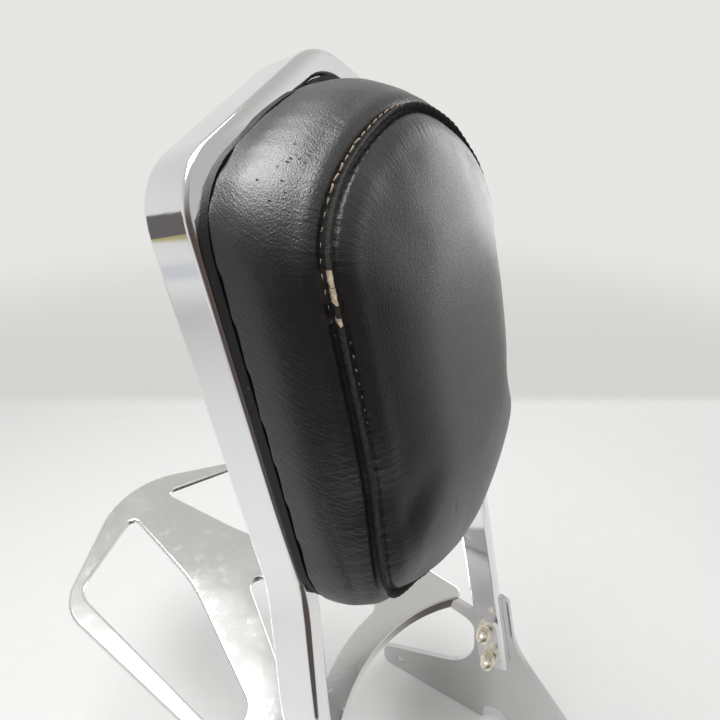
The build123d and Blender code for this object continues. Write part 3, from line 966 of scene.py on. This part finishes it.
lap_rise = 0.75 * MM
lap_sink = 1.5 * MM
lap_gap = 0.2 * MM
lap_normal_smoothing = 4
lap_line_smoothing = 2
far_start, far_span = 45 * MM, 25 * MM
under_start, under_span = 300 * MM, 12 * MM
lap_middle = seam_line + seam_inward * (lap_width * lap_share / 2 + lap_gap)[:, None]
settled = [worn_tree.find_nearest(Vector(point)) for point in lap_middle]
lap_out = unit(smooth_loop(np.array([hit[1] for hit in settled]), lap_normal_smoothing))
lap_line = smooth_loop(np.array([hit[0] for hit in settled]), lap_line_smoothing)
lap_x, lap_up, _ = along_hoop(lap_line)
far_side = np.clip((lap_x - far_start) / far_span, 0, 1)
under = np.clip((under_start - lap_up) / under_span, 0, 1)
hidden = np.maximum(far_side, under)
lap_line = lap_line + lap_out * (lap_rise - lap_sink * hidden)[:, None]
seam_lap = path_piece("seam_lap", lap_line, {"outward": lap_out, "inwards": seam_inward})
keep(seam_lap.data, "wide", lap_share)
run_tree(lap_tree, seam_lap, {
    "Width": lap_width, "Thickness": 1.6 * MM, "Tooth": 0.9 * MM, "Hump": 0.35 * MM, "Pitch": stitch_pitch,
})
lap_points = mesh_points(seam_lap.data)
bare_heights = (0.5940, 0.5965, 0.5980, 0.6000, 0.6030, 0.6050, 0.6100, 0.6115, 0.6130, 0.6170, 0.6195)
bare_amounts = (0.0, 0.9, 0.9, 0.0, 0.0, 1.0, 1.0, 0.4, 1.0, 1.0, 0.0)
bare_start, bare_blend = 0.25, 0.2
lap_across = beside_seam(lap_points)[2]
bare_share = np.interp(lap_points[:, 2], bare_heights, bare_amounts) * (lap_points[:, 0] < 0)
bare_share *= np.clip((lap_across / lap_width - bare_start) / bare_blend, 0, 1)
keep(seam_lap.data, "bare", bare_share)
seam_lap.data.shade_smooth()
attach(seam_lap, "root")

# %% [markdown]
# The stitches are short lengths of beige thread, six millimetres apart, that rise out of one hole and dip
# into the next. One stitch is a small arched tube. The tree spaces points along the seam, turns a stitch at
# each to the seam and the leather, and lets its length and angle vary a little, with a fixed seed. High on
# the pad the thread is whole. Lower down it is worn to short ends, which also show on the lap's other edge,
# so the same tree runs twice with its own sizes and an attribute that says how much of each stitch is left.

# %% Sew the stitches
sway_most = 0.16
shortest, longest = 0.80, 1.10
size_seed_step = 5.0
stitch_tree, net, entry = new_tree("seam_stitches", ("Pitch", "Length", "Thickness", "Arch"), ("Seed",))
outward = named(net, "outward", "FLOAT_VECTOR")
curve = net.node("GeometryNodeMeshToCurve", inputs={"Mesh": entry})
spaced = net.node("GeometryNodeResampleCurve", {"mode": "LENGTH"}, {
    "Curve": curve, "Length": entry.output("Pitch"),
})
half = entry.output("Length") * 0.5
arch = entry.output("Arch")
ends = [net.node("ShaderNodeCombineXYZ", inputs={"X": x, "Z": z}) for x, z in (
    (half * -1.0, arch * -1.0), (half * -0.7, arch), (half * 0.7, arch), (half, arch * -1.0),
)]
thread_line = net.node("GeometryNodeCurvePrimitiveBezierSegment", inputs={
    "Resolution": 8, "Start": ends[0], "Start Handle": ends[1], "End Handle": ends[2], "End": ends[3],
})
thread_round = net.node("GeometryNodeCurvePrimitiveCircle", inputs={
    "Resolution": 7, "Radius": entry.output("Thickness") * 0.5,
})
one_stitch = net.node("GeometryNodeCurveToMesh", inputs={
    "Curve": thread_line, "Profile Curve": thread_round, "Fill Caps": True,
})
tangent = net.node("GeometryNodeInputTangent")
sway = net.node("FunctionNodeRandomValue", {"data_type": "FLOAT_VECTOR"}, {
    0: (-sway_most,) * 3, 1: (sway_most,) * 3, "Seed": entry.output("Seed"),
})
facing = net.vectors("ADD", tangent, sway)
turn = net.node("FunctionNodeAlignRotationToVector", {"axis": "X"}, {"Vector": facing})
turn = net.node("FunctionNodeAlignRotationToVector", {"axis": "Z", "pivot_axis": "X"}, {
    "Rotation": turn, "Vector": outward,
})
size = net.node("FunctionNodeRandomValue", {"data_type": "FLOAT"}, {
    2: shortest, 3: longest, "Seed": entry.output("Seed") + size_seed_step,
}, output=1)
sewn = net.node("GeometryNodeInstanceOnPoints", inputs={
    "Points": spaced, "Instance": one_stitch, "Rotation": turn, "Scale": size * named(net, "left"),
})
end_tree(net, sewn, seam_thread)


def sew(name, line, outward, left, values):
    piece = path_piece(name, line, {"outward": outward})
    keep(piece.data, "left", left)
    run_tree(stitch_tree, piece, values)
    piece.data.shade_smooth()
    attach(piece, "root")


stitch_lift = -0.10 * MM
stitch_inset = 0.4 * MM
end_lift = 0.3 * MM
whole_heights, whole_shares = (0.590, 0.605, 0.632, 0.648), (0.12, 0.42, 0.46, 1.0)
end_heights, end_shares = (0.535, 0.550, 0.585, 0.592), (0.01, 0.8, 1.0, 0.01)
seam_height = seam_line[:, 2]
stitch_line = seam_line + seam_inward * stitch_inset + seam_out * stitch_lift
sew("seam_stitches", stitch_line, seam_out, np.interp(seam_height, whole_heights, whole_shares), {
    "Pitch": stitch_pitch, "Length": 3.9 * MM, "Thickness": 1.05 * MM, "Arch": 0.7 * MM, "Seed": 11,
})
edge_line = lap_line + seam_inward * (lap_width * lap_share / 2)[:, None] + lap_out * end_lift
sew("seam_thread_ends", edge_line, lap_out, np.interp(seam_height, end_heights, end_shares), {
    "Pitch": stitch_pitch, "Length": 1.1 * MM, "Thickness": 0.8 * MM, "Arch": 0.3 * MM, "Seed": 17,
})

# %% [markdown]
# The studio is a wide pale floor that turns from white to pale grey beyond a soft straight line behind the
# object. A real backdrop would stand in the way of the other views, so the far part of the floor and the
# world share one pale colour for the camera, and on the other sides the floor fades into that colour where
# the lamps no longer reach it. Chrome shows whatever is round it, so one function paints the room that
# mirrors see: pale on most sides and dark behind the camera, which draws the thin dark lines along the
# bar's rounded edges.

# %% Lay the floor
backdrop_pale = (0.79, 0.79, 0.77)
# The pale grey is darker at its foot, just beyond the line: painted shade at the foot of the backdrop.
backdrop_foot_shade = (0.66, 0.655, 0.63)
backdrop_rise = 3.2
floor_tints = ((0.62, 0.62, 0.61), (0.645, 0.645, 0.635))
room_pale = (0.80, 0.80, 0.79)
room_darks = ((0.030, 0.025, 0.024), (0.120, 0.070, 0.045))
floor_half = 30.0
floor_break = 1.09
floor_blend = 0.03
fade_start = 1.3
fade_end = 2.6
shade_heading = (-0.574, -0.819, 0.0)
edge_heading = (-0.640, 0.768, 0.0)

floor_skin = bmesh.new()
bmesh.ops.create_grid(floor_skin, x_segments=1, y_segments=1, size=floor_half)
floor_mesh = bpy.data.meshes.new("studio_floor")
floor_skin.to_mesh(floor_mesh)
floor_skin.free()
floor = placed("studio_floor", floor_mesh)


def room_seen(net, heading):
    mottled = net.clouds(heading, 9.0, 3.0)
    dark = net.blend(mottled.between(0.45, 0.6), *room_darks)
    shade = net.dot(heading, shade_heading).between(0.25, 0.75)
    return net.blend(shade * 0.94, room_pale, dark)


floor_paint, net, place = new_finish("studio_floor")
away = Vector((look.x, look.y, 0.0)).normalized()
from_camera = net.vectors("SUBTRACT", place, tuple(camera.location))
distance = net.dot(from_camera, tuple(away))
flat = net.vectors("MULTIPLY", place, (1.0, 1.0, 0.0))
radius = net.node("ShaderNodeVectorMath", {"operation": "LENGTH"}, {0: flat}, output="Value")
faded = radius.between(fade_start, fade_end)
far = distance.between(floor_break - floor_blend, floor_break + floor_blend).larger(faded)
light_path = net.node("ShaderNodeLightPath", output="Is Camera Ray")
seen = light_path.larger(light_path.output("Is Transmission Ray"))
# Beyond the line the backdrop starts darker and pales with distance, painted shade at its foot.
pale_share = distance.between(floor_break, backdrop_rise).larger(faded)
far_colour = net.blend(pale_share, backdrop_foot_shade, backdrop_pale)
speckle = net.clouds(place, 40.0, 3.0)
near_colour = net.blend(speckle, *floor_tints)
lit = net.node("ShaderNodeBsdfDiffuse", inputs={"Color": near_colour})
glow = net.node("ShaderNodeEmission", inputs={"Color": far_colour, "Strength": 1.0})
shown = net.node("ShaderNodeMixShader", inputs={0: far * seen, 1: lit, 2: glow})
print("The floor turns pale grey", floor_break, "m from the camera")

# %% [markdown]
# The bar's outer face mirrors the far left of the room, where the floor ends in a thin yellow line with a
# dark ragged gap beyond it. Only mirrors see it, a painted reflection: it is painted on the floor by
# distance, inside one narrow heading, and the world carries it on for a little way above the horizon.
# Behind the camera, for mirrors alone, the pale floor ends close by and is painted dark beyond, a painted
# reflection, so that what faces the camera low down, like the rack's front flange, mirrors that dark.

# %% Paint what the mirrors see
gap_colour = (0.15, 0.14, 0.14)
line_colour = (0.42, 0.37, 0.12)
patch_colour = (0.50, 0.53, 0.62)
patch_start, patch_stop = (1.92, 2.00), (2.14, 2.22)
line_start, line_stop = (2.58, 2.64), (2.72, 2.80)
gap_start = (2.72, 2.82)
mirror_start = (1.5, 1.9)
behind_start = (0.75, 0.95)


def floor_edge(net, heading):
    return net.dot(heading, edge_heading).between(0.965, 0.985)


heading = net.unit(flat)
wedge = floor_edge(net, heading)
gap = radius.between(*gap_start) * wedge
line = radius.between(*line_start) * (1 - radius.between(*line_stop)) * wedge
patch = radius.between(*patch_start) * (1 - radius.between(*patch_stop)) * wedge
mirror_colour = net.blend(patch * 0.5, room_seen(net, heading), patch_colour)
mirror_colour = net.blend(line, mirror_colour, line_colour)
mirror_colour = net.blend(gap, mirror_colour, gap_colour)
# For mirrors alone the floor behind the camera turns dark from under a metre out: a painted reflection.
behind = net.dot(heading, shade_heading).between(0.45, 0.75) * radius.between(*behind_start)
mirrored = light_path.output("Is Glossy Ray") * radius.between(*mirror_start).larger(behind)
room_glow = net.node("ShaderNodeEmission", inputs={"Color": mirror_colour, "Strength": 1.0})
shown = net.node("ShaderNodeMixShader", inputs={0: mirrored, 1: shown, 2: room_glow})
net.node("ShaderNodeOutputMaterial", inputs={"Surface": shown})
floor.data.materials.append(floor_paint)
print("Mirrors see the floor end", gap_start[0], "m from the middle")

# %% [markdown]
# The world carries the same room above the floor, greyer overhead. Diffuse surfaces get a plain even light
# instead. Two soft boxes do the rest: one overhead, which lays the sheen on the near top corner of the pad,
# and a weaker one far to the right.

# %% Light the room
room_top = (0.56, 0.555, 0.54)
even_light = (0.55, 0.55, 0.555)

world = bpy.data.worlds.new("studio_room")
scene.world = world
world.use_nodes = True
world.node_tree.nodes.clear()
net = Net(world.node_tree)
direction = net.node("ShaderNodeTexCoord", output="Generated")
height = net.part(direction, "Z")
room = net.blend(height.between(0.25, 0.9), room_seen(net, direction), room_top)
heading = net.unit(net.vectors("MULTIPLY", direction, (1.0, 1.0, 0.0)))
ragged = (net.clouds(heading, 110.0, 3.0, 0.7) - 0.5) * 0.14
gap = (1 - (height + ragged).between(0.08, 0.11)) * floor_edge(net, heading)
room = net.blend(gap, room, gap_colour)
light_path = net.node("ShaderNodeLightPath", output="Is Camera Ray")
mirrored = light_path.output("Is Glossy Ray").larger(light_path.output("Is Transmission Ray"))
colour = net.blend(mirrored, even_light, room)
colour = net.blend(light_path, colour, backdrop_pale)
backdrop = net.node("ShaderNodeBackground", inputs={"Color": colour, "Strength": 1.0})
net.node("ShaderNodeOutputWorld", inputs={"Surface": backdrop})


def softbox(name, place, target, size, power):
    lamp = bpy.data.lights.new(name, "AREA")
    lamp.shape = "SQUARE"
    lamp.size = size
    lamp.energy = power
    holder = placed(name, lamp)
    holder.location = place
    holder.rotation_mode = "QUATERNION"
    holder.rotation_quaternion = (Vector(target) - Vector(place)).to_track_quat("-Z", "Y")
    print(name, "at", place, "with", power, "W")


softbox("overhead_softbox", (-0.22, 0.17, 1.75), (0.0, 0.0, 0.4), 0.85, 30.0)
softbox("far_side_softbox", (2.0, -0.4, 0.75), (0.0, 0.0, 0.35), 1.0, 9.0)
